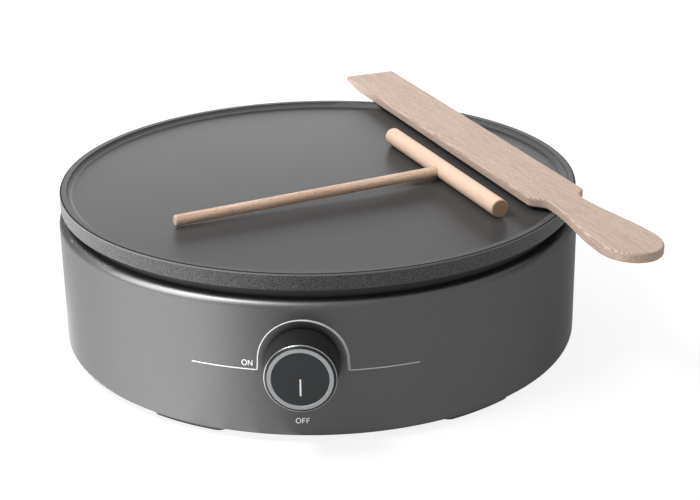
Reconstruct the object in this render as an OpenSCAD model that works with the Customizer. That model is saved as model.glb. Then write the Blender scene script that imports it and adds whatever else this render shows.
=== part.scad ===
// Electric crepe maker: a round sheet-metal drum that carries a cast cooking plate over a tubular
// heating element, with one control knob in front, and its wooden spreader and spatula on top.
// Millimetres, +Z up. The origin is where the drum's axis meets the surface it stands on.
// The knob faces -Y and the cord inlet faces +Y.

/* [Cooking plate] */
// Diameter of the cooking plate
plate_d = 300; // [280:1:360]
// Height of the plate's outer edge
plate_edge_h = 9.3; // [8:0.1:14]
// Metal between the cooking surface and the flat underside
plate_t = 5.3; // [4.5:0.1:8]
// Height of the lip above the cooking surface
lip_h = 2.5; // [1:0.1:4]
// Width of the lip's flat top
lip_w = 4; // [2:0.1:8]
// Radius of the fillet between the lip and the cooking surface
lip_fillet = 2.4; // [0.5:0.1:6]
// Width of the thick band under the plate's edge
plate_band_w = 10; // [8:0.5:16]
// Rounding of the plate's outer corners
plate_round = 0.9; // [0.3:0.1:1.5]

/* [Drum casing] */
// How far the casing stands out past the plate
casing_step = 1.4; // [-1:0.1:4]
// Height of the casing from its lower edge to its shoulder
casing_h = 76.9; // [70:0.1:110]
// Sheet thickness of the casing
casing_t = 1; // [0.6:0.1:2]
// Outer radius of the shoulder
shoulder_round = 4; // [2.5:0.1:6]
// Outer radius of the lower edge
hem_round = 3.5; // [2.5:0.1:5]
// Width of the flat flange inside the shoulder
shoulder_flange_w = 11; // [8:0.5:16]
// Open gap between the casing's shoulder and the plate
neck_gap = 5.9; // [4:0.1:9]
// How far the neck ring lies inside the plate's edge
neck_inset = 6; // [4:0.5:7]
// Wall thickness of the neck ring
neck_wall = 3; // [2:0.1:5]

/* [Heating element] */
// Diameter of the element's tube
element_d = 6.6; // [5:0.1:8.5]
// Radius of the element's outer turn
element_outer_r = 104; // [92:1:104]
// Radius of the element's inner turn
element_inner_r = 60; // [54:1:68]
// Half of the angle left open between the ends of each turn
element_gap_angle = 20; // [16:1:28]
// Depth that the tube sinks into its channel in the plate
element_seat = 2; // [1:0.1:2.6]
// Centreline radius of the bends into the cold ends
cold_bend_r = 12; // [9:0.5:14]
// Straight length of each cold end below its bend
cold_end_len = 8; // [4:0.5:14]
// Width of the bars that clamp the element
clamp_w = 14; // [10:0.5:18]
// Sheet thickness of the clamp bars and saddles
clamp_t = 1.5; // [0.8:0.1:2.5]

/* [Chassis] */
// Height of the bosses that carry the plate
boss_h = 14; // [12:0.5:18]
// Diameter of the bosses that carry the plate
boss_d = 14; // [10:0.5:14]
// Distance of the tie screws outside the element's outer turn
post_offset = 16; // [13:0.5:18]
// Outer diameter of the spacer posts
post_d = 10; // [8:0.5:12]
// Thread diameter of the tie screws
tie_d = 4; // [3:0.5:5]
// Sheet thickness of the heat shield
shield_t = 0.8; // [0.5:0.1:1.5]
// Height of the heat shield's rim
shield_rim_h = 5; // [2:0.5:7]
// Sheet thickness of the base cover
cover_t = 1.2; // [0.8:0.1:2]
// Height of the base cover's raised middle
cover_rise = 4; // [2:0.5:6]
// Depth of the base cover inside the casing's lower edge
cover_recess = 1.5; // [1:0.1:2.5]
// Number of vent slots round the base cover
vent_count = 24; // [12:2:32]
// Width of a vent slot
vent_w = 3.5; // [2:0.1:5]
// Thickness of the casing's welded lugs
lug_t = 2; // [1.2:0.1:3]

/* [Feet] */
// How far the feet lift the casing off the surface
foot_drop = 3.5; // [3:0.1:8]
// Width of a foot across the rim
foot_w = 12; // [9:0.5:13]
// Angle that a foot takes up along the rim
foot_span = 19; // [10:1:26]
// Angle from the middle of the feet to each foot of a pair
foot_spread = 33; // [28:1:40]
// Angle that the feet are turned round from the knob's centre line
foot_turn = 6.5; // [0:0.5:8]

/* [Control knob] */
// Height of the knob's axis above the casing's lower edge
knob_h = 43.5; // [34:0.1:46]
// Diameter of the knob where it meets the casing
knob_d = 39; // [34:0.5:46]
// Diameter of the knob at its front bevel
knob_front_d = 37.2; // [32:0.1:44]
// Depth of the knob
knob_depth = 18.7; // [14:0.1:26]
// Gap between the casing and the back of the knob
knob_gap = 0.8; // [0.5:0.1:2]
// Width of the knob's front bevel
bevel_w = 1.1; // [0.4:0.1:2]
// Outer diameter of the grey trim ring
trim_d = 34.2; // [28:0.1:40]
// Diameter of the dark face inside the trim ring
face_d = 29.4; // [22:0.1:32]
// Thickness of the trim ring
trim_t = 2.3; // [1.5:0.1:3]
// Length of the pointer line
pointer_len = 9.4; // [5:0.1:13]
// Width of the pointer line
pointer_w = 0.8; // [0.5:0.1:2]
// Diameter of the control shaft
shaft_d = 6; // [4:0.5:8]
// Wall thickness of the knob's skirt
skirt_t = 2; // [1.2:0.1:3]

/* [Thermostat] */
// Width of the thermostat's housing
stat_w = 36; // [28:1:44]
// Height of the thermostat's housing
stat_h = 38; // [30:1:46]
// Depth of the thermostat's housing
stat_depth = 26; // [18:1:32]
// Distance of its screws from the shaft
stat_screw_x = 13.5; // [11:0.5:14]
// Thread diameter of its screws
stat_screw_d = 4; // [3:0.5:4]
// Sheet thickness of its bracket
bracket_t = 1.5; // [1:0.1:2.5]
// Diameter of the sensor bulb
bulb_d = 5; // [3:0.5:6]
// Length of the sensor bulb
bulb_len = 68; // [40:1:80]
// Diameter of the capillary tube
capillary_d = 1.8; // [1.2:0.1:2.5]

/* [Wiring] */
// Diameter of the sleeved wires
wire_d = 3; // [2:0.1:4]
// Length of the terminal block
terminal_len = 44; // [36:1:56]
// Depth of the terminal block
terminal_w = 18; // [14:1:22]
// Height of the terminal block
terminal_h = 15; // [10:0.5:20]
// Diameter of the thermal fuse
fuse_d = 7; // [5:0.5:9]
// Length of the thermal fuse's body
fuse_len = 24; // [18:1:30]
// Height of the cord inlet above the casing's lower edge
inlet_h = 20; // [16:0.5:30]
// Bore of the cord inlet
inlet_bore_d = 7.2; // [5:0.1:8.6]
// Diameter of the inlet bush where it passes through the casing
inlet_d = 12.2; // [11:0.1:16]
// Length of the inlet bush inside the casing
inlet_len = 14; // [10:0.5:20]

/* [Spreader] */
// Length of the spreader's bar
bar_len = 141.5; // [110:0.5:180]
// Diameter of the spreader's bar
bar_d = 10.4; // [8:0.1:16]
// Length of the spreader's handle from its free end to the bar's axis
spreader_reach = 166.4; // [120:0.1:168]
// Diameter of the spreader's handle
handle_d = 6.2; // [5:0.1:7]
// Depth of the handle's hole in the bar
handle_seat = 6; // [4:0.1:8]
// Distance of the bar's middle to the right of the drum's axis
bar_x = 73.3; // [60:0.1:76]
// Distance of the bar's middle behind the drum's axis
bar_y = 0; // [-12:0.1:8]
// Angle of the spreader from the X axis
spreader_angle = 25.4; // [18:0.1:32]
// Angle that its handle is off square to the bar
handle_skew = 2.6; // [-4:0.1:4]

/* [Spatula] */
// Overall length of the spatula
spatula_len = 363; // [320:1:380]
// Length of its blade
blade_len = 264; // [230:1:275]
// Width of its blade
blade_w = 34.8; // [30:0.1:42]
// Thickness of the board
board_t = 5.5; // [4:0.1:8]
// Rounding of the board's edges
board_round = 1.2; // [0.5:0.1:1.8]
// Thickness left at the blade's tip
tip_t = 2.8; // [1.5:0.1:3.5]
// Length of the bevel under the blade's tip
tip_bevel_len = 20; // [10:1:40]
// Width of the neck between the blade and the handle
spatula_neck_w = 20.4; // [16:0.1:28]
// Width of the handle where it is widest
handle_end_w = 34.2; // [26:0.1:38]
// Length of the handle's rounded end
handle_end_len = 21; // [10:0.5:28]
// Distance of the blade's tip to the right of the drum's axis
spatula_x = 24.5; // [16:0.1:30]
// Distance of the blade's tip behind the drum's axis
spatula_y = 196.1; // [190:0.1:205]
// Angle of the spatula from the X axis
spatula_angle = -65.3; // [-67:0.1:-62]

/* [Hidden] */

$fn = 72;
wall_fn = 180;       // smoothness of the large turned forms
tube_sides = 8;      // sides of a wire or capillary
eps = 0.01;          // overcut that keeps a cut's faces apart

// Colours
coating_grey = [0.32, 0.32, 0.32];
casing_grey = [0.42, 0.42, 0.42];
sheet_black = [0.16, 0.16, 0.17];
rubber_black = [0.2, 0.2, 0.2];
plastic_black = [0.1, 0.1, 0.1];
knob_dark = [0.18, 0.18, 0.19];
knob_silver = [0.62, 0.63, 0.64];
pointer_white = [0.95, 0.95, 0.95];
zinc = [0.72, 0.72, 0.7];
sheath_grey = [0.45, 0.43, 0.42];
copper = [0.72, 0.5, 0.36];
brass = [0.78, 0.62, 0.32];
ceramic = [0.87, 0.85, 0.79];
wire_brown = [0.45, 0.28, 0.18];
wire_white = [0.75, 0.72, 0.66];
wire_blue = [0.3, 0.36, 0.55];
wire_green = [0.45, 0.6, 0.25];
beech_pale = [0.88, 0.78, 0.67];
beech_brown = [0.78, 0.62, 0.5];

// Clearances
slip = 0.1;          // round part in its own hole or channel
drop_in = 0.3;       // ring or cover in its opening
channel_play = 0.6;  // element beside the walls of its channel
bend_play = 0.2;     // the same at the return bend
rest_gap = 0.25;     // loose round tool above the plate
screw_gap = 0.3;     // screw shank in a clearance hole
turn_gap = 0.08;     // control shaft in its bearing

// Heights, from the surface the feet stand on
casing_low_z = foot_drop;
casing_top_z = casing_low_z + casing_h;
plate_low_z = casing_top_z + neck_gap;
plate_top_z = plate_low_z + plate_edge_h;
cook_z = plate_top_z - lip_h;
under_z = cook_z - plate_t;
cover_low_z = casing_low_z + cover_recess;
cover_z = cover_low_z + cover_t;
dish_z = cover_z + cover_rise;
shield_z = under_z - boss_h;
shield_low_z = shield_z - shield_t;
knob_z = casing_low_z + knob_h;
inlet_z = casing_low_z + inlet_h;

// Radii. The casing's mouth and the neck ring stay clear of the plate's bosses.
plate_r = plate_d / 2;
casing_r = plate_r + casing_step;
casing_in_r = casing_r - casing_t;
cover_r = casing_r - hem_round - casing_t - drop_in;
post_r = element_outer_r + post_offset;
boss_play = 0.6;
boss_clear_r = post_r + boss_d / 2 + boss_play;
dish_margin = 3;
dish_r = post_r - boss_d / 2 - dish_margin;   // foot of the ramp up to the cover's raised middle
neck_skirt_t = 1.6;
neck_skirt_h = 4;
neck_floor_t = 2;
mouth_r = max(casing_r - shoulder_round - shoulder_flange_w, boss_clear_r + neck_skirt_t + drop_in);
neck_skirt_r = mouth_r - drop_in;
neck_r = max(plate_r - neck_inset, boss_clear_r + neck_wall);
shield_play = 1;
shield_r = neck_skirt_r - neck_skirt_t - shield_play;
wall_cut = 16;           // length of a cut through the casing's wall, centred on it

// Vents, in an outer ring that leaves out the terminal block and a sparser inner ring
vent_margin = 12;
vent_len = 36;
vent_out_r = dish_r - vent_margin;
vent_in_r = vent_out_r - vent_len;
vent_free_angle = 30;
inner_vent_r = [0.4 * vent_in_r, 0.7 * vent_in_r];

// Screws
boss_thread_depth = 10;
hole_spare = 0.5;        // how much deeper a blind hole is than its screw
screw_tail = 1;          // how far a sheet-metal screw comes out
tie_head_d = 2 * tie_d;
tie_head_h = 0.65 * tie_d;

// Element
element_r = element_d / 2;
element_z = under_z + element_seat - slip - element_r;
element_mid_r = (element_outer_r + element_inner_r) / 2;
element_bend_r = (element_outer_r - element_inner_r) / 2;
collar_t = 0.7;
collar_d = element_d + 2 * collar_t;   // brazed collar where each turn meets its cold end
collar_len = 5;
stud_d = 3;
stud_len = 9;
stud_low_z = element_z - cold_bend_r - cold_end_len - stud_len;
stud_play = 2.5;
stud_hole_d = element_d + 2 * stud_play;
clamp_angles = [0, 180, 232, 308];
clamp_top_z = element_z - element_r - slip;
clamp_boss_d = 9;
clamp_screw_d = 4;
pan_head = [2, 0.55];    // a pan head's diameter and height, as shares of the thread

// Feet
foot_out_r = cover_r;
foot_mid_r = foot_out_r - foot_w / 2;
foot_round = 1.5;
foot_peg_d = 5;
foot_peg_angle = foot_span / 4;
foot_cap_h = 1.4;
foot_cap_grip = 2;       // how much wider the peg's cap is than the peg
foot_cap_taper = 1;      // how much narrower its top is
foot_front_left_angle = -90 + foot_turn - foot_spread;
foot_front_right_angle = -90 + foot_turn + foot_spread;

// Lugs and base screws
lug_angles = [0, 90, 180, 270];
lug_w = 14;
lug_reach = 11;
lug_in_r = cover_r - lug_reach;
base_screw_inset = 6;
base_screw_r = cover_r - base_screw_inset;
base_screw_d = 3;

// Plate bosses and posts, each midway between a foot and the lug beside it
post_angles = [
    foot_front_right_angle / 2, (foot_front_left_angle - 180) / 2,
    180 + foot_front_right_angle / 2, (foot_front_left_angle + 180) / 2
];

// Knob, measured outwards along its axis from the drum's axis
knob_back_y = casing_r + knob_gap;
knob_front_y = knob_back_y + knob_depth;
bevel_h = 1.3;
trim_land = 0.3;         // rim of the body left round the trim ring
face_sink = 0.3;         // the face lies this far below the ring
trim_chamfer = 0.25;
pointer_t = 0.6;
hub_wall = 3.5;
hub_d = shaft_d + 2 * hub_wall;
hub_start = 1.5;
flat_depth = 1;          // the shaft's flat
hub_grip = 11;           // length of shaft inside the hub
spring_t = 0.8;
spring_w = 5;
spring_set = 2;          // distance of the spring from the hub's end
spring_gap_w = 3;
front_wall = 2.4;

// Thermostat: its bracket spans the curved wall and meets it along both sides
bracket_margin = 2;
bracket_w = stat_w + 2 * bracket_margin;
bracket_h = stat_h + 2 * bracket_margin;
bracket_y = sqrt(pow(casing_in_r - slip, 2) - pow(bracket_w / 2, 2));
stat_y = bracket_y - bracket_t;
shaft_bearing = 9;
bearing_wall = 2;
bearing_d = shaft_d + 2 * bearing_wall;
stat_round = 2;
stat_screw_depth = 6;
tab = [6.3, 0.8, 9];     // a flat terminal: width, thickness, length
tab_x = 9;
tab_drop = 8;
tab_z = knob_z - tab_drop;
tab_end_y = -(stat_y - stat_depth - tab[2]);

// Sensor bulb and fuse, each held by a saddle
bulb_y = -34;
bulb_z = under_z - bulb_d / 2 - slip;
saddle_w = 12;
saddle_ear = 7;
saddle_screw_d = 3;
fuse_pos = [14, 28, shield_low_z - fuse_d / 2 - slip];
fuse_lead = 5;
capillary_lead = 8;
capillary_hole_x = bulb_len / 2 + capillary_lead;
capillary_hole_d = 8;
capillary_end = [10, 12];   // where it enters the thermostat: to the right of the shaft, and above it

// Terminal block, inlet and earth
terminal_y = 89;
pole_pitch = terminal_len / 3;
pole_w = 0.84 * pole_pitch;
pole_d = 5.2;
pole_screw_h = 3;
pole_screw_z = dish_z + terminal_h / 2 + wire_d / 2;
pole_entry = 3;          // depth that a wire goes into the block
terminal_foot_h = 3;
terminal_fixing_depth = 5;
terminal_out_z = dish_z + terminal_h / 2;
terminal_front_y = terminal_y - terminal_w / 2;
inlet_flange_w = 3;
inlet_flange_d = inlet_d + 2 * inlet_flange_w;
inlet_flange_t = 3;
inlet_chamfer = 1;
nut_t = 4;
nut_wall = 4;
nut_d = inlet_d + 2 * nut_wall;
earth_pos = [48, 50, dish_z];
earth_screw_d = 4;
earth_nut_h = 3;
earth_tail = 3;          // how far the earth screw comes out below the cover
earth_tag = [8, 10.4, 1];   // flat tag under the nut: width, length, thickness

// Wires and the capillary. A lead is the handle of the curve that leaves an end.
run_steps = 6;           // steps in each half of a run
run_stub = 1;            // straight stretch at each end
pole_lead = [0, -9, 0];
tab_lead = [0, 14, 0];
stud_lead = [0, 0, -9];
fuse_out_lead = [9, 0, 0];
earth_lead = [0, 7, 0];
stud_sag = 5;            // how far a wire hangs below a stud's lead

// Loose wooden tools. The spatula's board lies along +X from its tip.
rod_soft = 0.5;          // softened edge at a rod's ends
tip_corner = 2;          // corner radius at the tip
tip_corner_steps = 3;
shoulder_run = 11;       // length over which the blade narrows to the neck
waist_run = 2;
waist_x = blade_len + shoulder_run + waist_run;
end_x = spatula_len - handle_end_len;
flare_steps = 10;
end_steps = 10;
soft_steps = 3;          // steps round the board's edge, above and below
soft_share = 0.4;        // the rounding takes up this share of a thin edge at most

// ---- Shared forms ----

// Fills a concave corner at the origin, or trims a convex one when subtracted
module corner_fillet(r) {
    difference() {
        square(r);
        translate([r, r]) circle(r);
    }
}

// A quarter of a bent sheet, from its outer radius and thickness, centred on the origin
module sheet_bend(r, t) {
    intersection() {
        difference() {
            circle(r);
            circle(r - t);
        }
        square(r);
    }
}

// Turns a profile drawn as radius and height round the drum's axis
module turned(angle = 360) {
    rotate_extrude(angle = angle, $fn = wall_fn) children();
}

// Places a copy at each angle and radius about the drum's axis
module around(angles, r) {
    for (a = angles) rotate(a) translate([r, 0, 0]) children();
}

// Puts what is drawn along +Z on the knob's axis, pointing out of the front
module on_knob_axis() {
    translate([0, 0, knob_z]) rotate([90, 0, 0]) children();
}

// Puts what is drawn along +Z on the inlet's axis, pointing out of the back
module on_inlet_axis() {
    translate([0, 0, inlet_z]) rotate([-90, 0, 0]) children();
}

// A pan-head screw pointing up, with the underside of its head at the origin
module screw(d, length) {
    translate([0, 0, -eps]) cylinder(d = d, h = length + eps);
    translate([0, 0, -pan_head[1] * d]) cylinder(d = pan_head[0] * d, h = pan_head[1] * d);
}

// A sheet saddle under a round body that lies along X against a flat face at z = 0
module saddle(body_d) {
    inner = body_d / 2 + slip;
    outer = inner + clamp_t;
    half = outer + saddle_ear;
    rotate([90, 0, 90]) translate([0, 0, -saddle_w / 2]) difference() {
        linear_extrude(saddle_w) difference() {
            union() {
                intersection() {
                    translate([0, -inner]) circle(outer);
                    translate([-outer, -inner - outer]) square([2 * outer, inner + outer]);
                }
                translate([-outer, -inner]) square([2 * outer, inner]);
                translate([-half, -clamp_t]) square([2 * half, clamp_t]);
            }
            translate([0, -inner]) circle(inner);
            translate([-inner, -inner]) square([2 * inner, inner + eps]);
        }
        for (side = [-1, 1])
            translate([side * (outer + saddle_ear / 2), eps, saddle_w / 2])
                rotate([90, 0, 0]) cylinder(d = saddle_screw_d + screw_gap, h = clamp_t + 2 * eps);
    }
}

// Distance of a saddle's screws from the middle of what it holds
function saddle_screw_y(body_d) = body_d / 2 + slip + clamp_t + saddle_ear / 2;

function unit(v) = v / norm(v);

// The points after a of a cubic curve that leaves a along lead_a and ends in b, with its handle lead_b
function curve(a, lead_a, b, lead_b) =
    [for (i = [1:run_steps]) let (t = i / run_steps, s = 1 - t)
        s * s * s * a + 3 * s * s * t * (a + lead_a) + 3 * s * t * t * (b + lead_b) + t * t * t * b];

// A run that leaves a and b straight along their leads, and passes m along lead_m
function run_through(a, lead_a, m, lead_m, b, lead_b) =
    let (from = a + run_stub * unit(lead_a), to = b + run_stub * unit(lead_b))
    concat([a, from], curve(from, lead_a, m, -lead_m), curve(m, lead_m, to, lead_b), [b]);

// Direction of a run at point i
function run_dir(p, i) = unit(p[min(i + 1, len(p) - 1)] - p[max(i - 1, 0)]);

// A closed round tube along a run of points. No part of the run may lie along the side vector.
module tube_along(p, d) {
    side = [0.83, -0.21, 0.52];
    rings = [for (i = [0:len(p) - 1])
        let (n = run_dir(p, i), u = unit(cross(n, side)), v = cross(n, u))
        for (k = [0:tube_sides - 1])
            p[i] + d / 2 * (cos(360 * k / tube_sides) * u + sin(360 * k / tube_sides) * v)];
    last = (len(p) - 1) * tube_sides;
    polyhedron(
        points = rings,
        faces = concat(
            [[for (k = [0:tube_sides - 1]) k]],
            [[for (k = [tube_sides - 1:-1:0]) last + k]],
            [for (i = [0:len(p) - 2], k = [0:tube_sides - 1])
                let (a = i * tube_sides + k, b = i * tube_sides + (k + 1) % tube_sides)
                [a, a + tube_sides, b + tube_sides, b]]));
}

// A wire that leaves each end along its lead and runs level at height z halfway
module wire(a, lead_a, b, lead_b, z) {
    middle = (a + lead_a + b + lead_b) / 2;
    way = (b + lead_b - a - lead_a) / 4;
    tube_along(run_through(a, lead_a, [middle[0], middle[1], z], [way[0], way[1], 0], b, lead_b), wire_d);
}

// ---- Cooking plate and heater ----

// The bend that joins the element's two turns, in the XY plane, from a section drawn at the origin
module return_bend() {
    rotate(90 - element_gap_angle) translate([element_mid_r, 0, 0])
        rotate_extrude(angle = 180) translate([element_bend_r, 0]) children();
}

// The element's two open turns with their return bend
module element_turns() {
    return_bend() children();
    rotate(90 - element_gap_angle) mirror([0, 1, 0])
        for (r = [element_outer_r, element_inner_r])
            turned(360 - 2 * element_gap_angle) translate([r, 0]) children();
}

// Places a copy where each turn ends, with +X outwards and -Y along the tube
module at_cold_ends() {
    for (r = [element_outer_r, element_inner_r])
        rotate(90 + element_gap_angle) translate([r, 0, 0]) children();
}

// Section of the plate's channel, open downwards
module channel_section(play) {
    half = element_r + play;
    translate([-half, -eps]) square([2 * half, element_seat + eps]);
}

module plate_profile() {
    bowl_r = plate_r - lip_w;
    band_in_r = plate_r - plate_band_w;
    fillet = min(lip_fillet, lip_h);
    difference() {
        union() {
            translate([0, under_z]) square([bowl_r + eps, plate_t]);
            translate([bowl_r, plate_low_z]) square([lip_w, plate_edge_h]);
            translate([band_in_r, plate_low_z])
                square([plate_band_w - lip_w + eps, cook_z - plate_low_z]);
            translate([bowl_r + eps, cook_z]) mirror([1, 0]) corner_fillet(fillet);
        }
        translate([plate_r, plate_top_z]) rotate(180) corner_fillet(plate_round);
        translate([plate_r, plate_low_z]) rotate(90) corner_fillet(plate_round);
    }
}

module cooking_plate() {
    clamp_boss_h = under_z - clamp_top_z;
    color(coating_grey) difference() {
        union() {
            turned() plate_profile();
            around(post_angles, post_r) translate([0, 0, shield_z]) cylinder(d = boss_d, h = boss_h + eps);
            around(clamp_angles, element_mid_r)
                translate([0, 0, clamp_top_z]) cylinder(d = clamp_boss_d, h = clamp_boss_h + eps);
        }
        // channel for the element, turned right round so that its open ends have room to bend down
        translate([0, 0, under_z]) {
            return_bend() channel_section(bend_play);
            turned() for (r = [element_outer_r, element_inner_r])
                translate([r, 0]) channel_section(channel_play);
        }
        // relief for the collars at the ends of the turns
        at_cold_ends()
            translate([-collar_d / 2 - channel_play, -collar_len / 2 - channel_play, under_z - eps])
                cube([
                    collar_d + 2 * channel_play, collar_len + 2 * channel_play,
                    element_seat + collar_t + eps
                ]);
        // screw holes, all blind from below
        around(post_angles, post_r)
            translate([0, 0, shield_z - eps])
                cylinder(d = tie_d + 2 * slip, h = boss_thread_depth + hole_spare + eps);
        around(clamp_angles, element_mid_r)
            translate([0, 0, clamp_top_z - eps])
                cylinder(d = clamp_screw_d + 2 * slip, h = clamp_boss_h + plate_t / 2 + eps);
        for (side = [-1, 1])
            translate([0, bulb_y + side * saddle_screw_y(bulb_d), under_z - eps])
                cylinder(d = saddle_screw_d + 2 * slip, h = plate_t / 2 + eps);
    }
}

module heating_element() {
    color(sheath_grey) translate([0, 0, element_z]) {
        element_turns() circle(element_r);
        at_cold_ends() {
            translate([0, collar_len / 2, 0]) rotate([90, 0, 0]) cylinder(d = collar_d, h = collar_len);
            translate([0, 0, -cold_bend_r]) rotate([180, -90, 0])
                rotate_extrude(angle = 90) translate([cold_bend_r, 0]) circle(element_r);
            translate([0, -cold_bend_r, -cold_bend_r - cold_end_len]) {
                cylinder(r = element_r, h = cold_end_len);
                translate([0, 0, -stud_len]) cylinder(d = stud_d, h = stud_len + eps);
            }
        }
    }
}

module element_clamps() {
    reach = element_bend_r + element_d;
    color(zinc) around(clamp_angles, element_mid_r)
        translate([0, 0, clamp_top_z - clamp_t]) difference() {
            translate([-reach, -clamp_w / 2, 0]) cube([2 * reach, clamp_w, clamp_t]);
            translate([0, 0, -eps]) cylinder(d = clamp_screw_d + screw_gap, h = clamp_t + 2 * eps);
        }
}

module clamp_screws() {
    color(zinc) {
        around(clamp_angles, element_mid_r) translate([0, 0, clamp_top_z - clamp_t])
            screw(clamp_screw_d, clamp_t + under_z - clamp_top_z + plate_t / 2 - hole_spare);
        for (side = [-1, 1])
            translate([0, bulb_y + side * saddle_screw_y(bulb_d), under_z - clamp_t])
                screw(saddle_screw_d, clamp_t + plate_t / 2 - hole_spare);
    }
}

module heat_shield() {
    color(zinc) difference() {
        turned() {
            translate([0, shield_low_z]) square([shield_r, shield_t]);
            translate([shield_r - shield_t, shield_low_z]) square([shield_t, shield_rim_h]);
        }
        around(post_angles, post_r)
            translate([0, 0, shield_low_z - eps]) cylinder(d = tie_d + screw_gap, h = shield_t + 2 * eps);
        at_cold_ends() translate([0, -cold_bend_r, shield_low_z - eps])
            cylinder(d = stud_hole_d, h = shield_t + 2 * eps);
        translate([capillary_hole_x, bulb_y, shield_low_z - eps])
            cylinder(d = capillary_hole_d, h = shield_t + 2 * eps);
        for (side = [-1, 1])
            translate([fuse_pos[0], fuse_pos[1] + side * saddle_screw_y(fuse_d), shield_low_z - eps])
                cylinder(d = saddle_screw_d + 2 * slip, h = shield_t + 2 * eps);
    }
}

module sensor_bulb() {
    color(copper) translate([-bulb_len / 2, bulb_y, bulb_z]) rotate([0, 90, 0])
        cylinder(d = bulb_d, h = bulb_len);
}

module sensor_saddle() {
    color(zinc) translate([0, bulb_y, under_z]) saddle(bulb_d);
}

// From the bulb's end down through the heat shield and forward to the back of the thermostat
module capillary_tube() {
    bulb_end = [bulb_len / 2 + slip, bulb_y, bulb_z];
    hole = [capillary_hole_x, bulb_y, shield_low_z];
    stat_end = [capillary_end[0], stat_depth + slip - stat_y, knob_z + capillary_end[1]];
    drop = shield_low_z - stat_end[2];
    run = run_through(
        bulb_end, [capillary_lead / 2, 0, 0], hole, [0, 0, -drop / 2], stat_end, [0, 2 * drop, 0]);
    color(copper) tube_along(run, capillary_d);
}

// ---- Housing ----

module neck_ring() {
    color(plastic_black) turned() {
        translate([neck_r - neck_wall, casing_top_z]) square([neck_wall, neck_gap]);
        translate([neck_skirt_r - neck_skirt_t, casing_top_z])
            square([neck_r - neck_wall - neck_skirt_r + neck_skirt_t + eps, neck_floor_t]);
        translate([neck_skirt_r - neck_skirt_t, casing_top_z - neck_skirt_h])
            square([neck_skirt_t, neck_skirt_h + eps]);
    }
}

module casing_profile() {
    top_flat = casing_r - shoulder_round;
    translate([casing_in_r, casing_low_z + hem_round])
        square([casing_t, casing_h - hem_round - shoulder_round]);
    translate([top_flat, casing_top_z - shoulder_round]) sheet_bend(shoulder_round, casing_t);
    translate([mouth_r, casing_top_z - casing_t]) square([top_flat - mouth_r, casing_t]);
    translate([casing_r - hem_round, casing_low_z + hem_round])
        mirror([0, 1]) sheet_bend(hem_round, casing_t);
    translate([cover_r + drop_in, casing_low_z]) square([casing_t, casing_t]);
}

module drum_casing() {
    color(casing_grey) difference() {
        union() {
            turned() casing_profile();
            intersection() {
                around(lug_angles, lug_in_r)
                    translate([0, -lug_w / 2, cover_z]) cube([casing_r - lug_in_r, lug_w, lug_t]);
                cylinder(r = casing_in_r + casing_t / 2, h = casing_top_z, $fn = wall_fn);
            }
        }
        around(lug_angles, base_screw_r)
            translate([0, 0, cover_z - eps]) cylinder(d = base_screw_d + 2 * slip, h = lug_t + 2 * eps);
        on_knob_axis() translate([0, 0, casing_r - wall_cut / 2]) {
            cylinder(d = bearing_d + 2 * drop_in, h = wall_cut);
            for (side = [-1, 1])
                translate([side * stat_screw_x, 0, 0]) cylinder(d = stat_screw_d + screw_gap, h = wall_cut);
        }
        on_inlet_axis() translate([0, 0, casing_r - wall_cut / 2])
            cylinder(d = inlet_d + 2 * slip, h = wall_cut);
    }
}

// A flat rim and a raised middle, joined by a ramp at 45 degrees
module cover_profile() {
    ramp = cover_rise;
    bend = cover_t * tan(22.5);   // how far the ramp's upper corners lie outside its lower ones
    polygon([
        [0, dish_z - cover_t], [dish_r - ramp, dish_z - cover_t], [dish_r, cover_low_z],
        [cover_r, cover_low_z], [cover_r, cover_z], [dish_r + bend, cover_z],
        [dish_r + bend - ramp, dish_z], [0, dish_z]
    ]);
}

// A slot with round ends that runs outwards from r_in to r_out
module radial_slot(r_in, r_out, w) {
    h = cover_t + 2 * eps;
    translate([0, 0, dish_z - cover_t - eps]) {
        translate([r_in, -w / 2, 0]) cube([r_out - r_in, w, h]);
        for (r = [r_in, r_out]) translate([r, 0, 0]) cylinder(d = w, h = h);
    }
}

module base_cover() {
    pitch = 360 / vent_count;
    color(sheet_black) difference() {
        turned() cover_profile();
        for (i = [0:vent_count - 1])
            let (a = (i + 0.5) * pitch)
                if (abs(a - 90) > vent_free_angle) rotate(a) radial_slot(vent_in_r, vent_out_r, vent_w);
        for (i = [0:vent_count / 2 - 1])
            rotate(2 * i * pitch) radial_slot(inner_vent_r[0], inner_vent_r[1], vent_w);
        around(post_angles, post_r)
            translate([0, 0, cover_low_z - eps]) cylinder(d = tie_d + screw_gap, h = cover_t + 2 * eps);
        around(lug_angles, base_screw_r)
            translate([0, 0, cover_low_z - eps])
                cylinder(d = base_screw_d + screw_gap, h = cover_t + 2 * eps);
        for (turn = [0, 180], a = [foot_front_left_angle, foot_front_right_angle], side = [-1, 1])
            rotate(turn + a + side * foot_peg_angle)
                translate([foot_mid_r, 0, cover_low_z - eps])
                    cylinder(d = foot_peg_d + 2 * slip, h = cover_t + 2 * eps);
        for (side = [-1, 1])
            translate([side * pole_pitch / 2, terminal_y, dish_z - cover_t - eps])
                cylinder(d = saddle_screw_d + screw_gap, h = cover_t + 2 * eps);
        translate([earth_pos[0], earth_pos[1], dish_z - cover_t - eps])
            cylinder(d = earth_screw_d + 2 * slip, h = cover_t + 2 * eps);
    }
}

// Half of a foot's cross-section from its middle line outwards, with its lower edge rounded
module foot_half_profile() {
    difference() {
        square([foot_w / 2, cover_low_z]);
        translate([foot_w / 2, 0]) rotate(90) corner_fillet(foot_round);
    }
}

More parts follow.
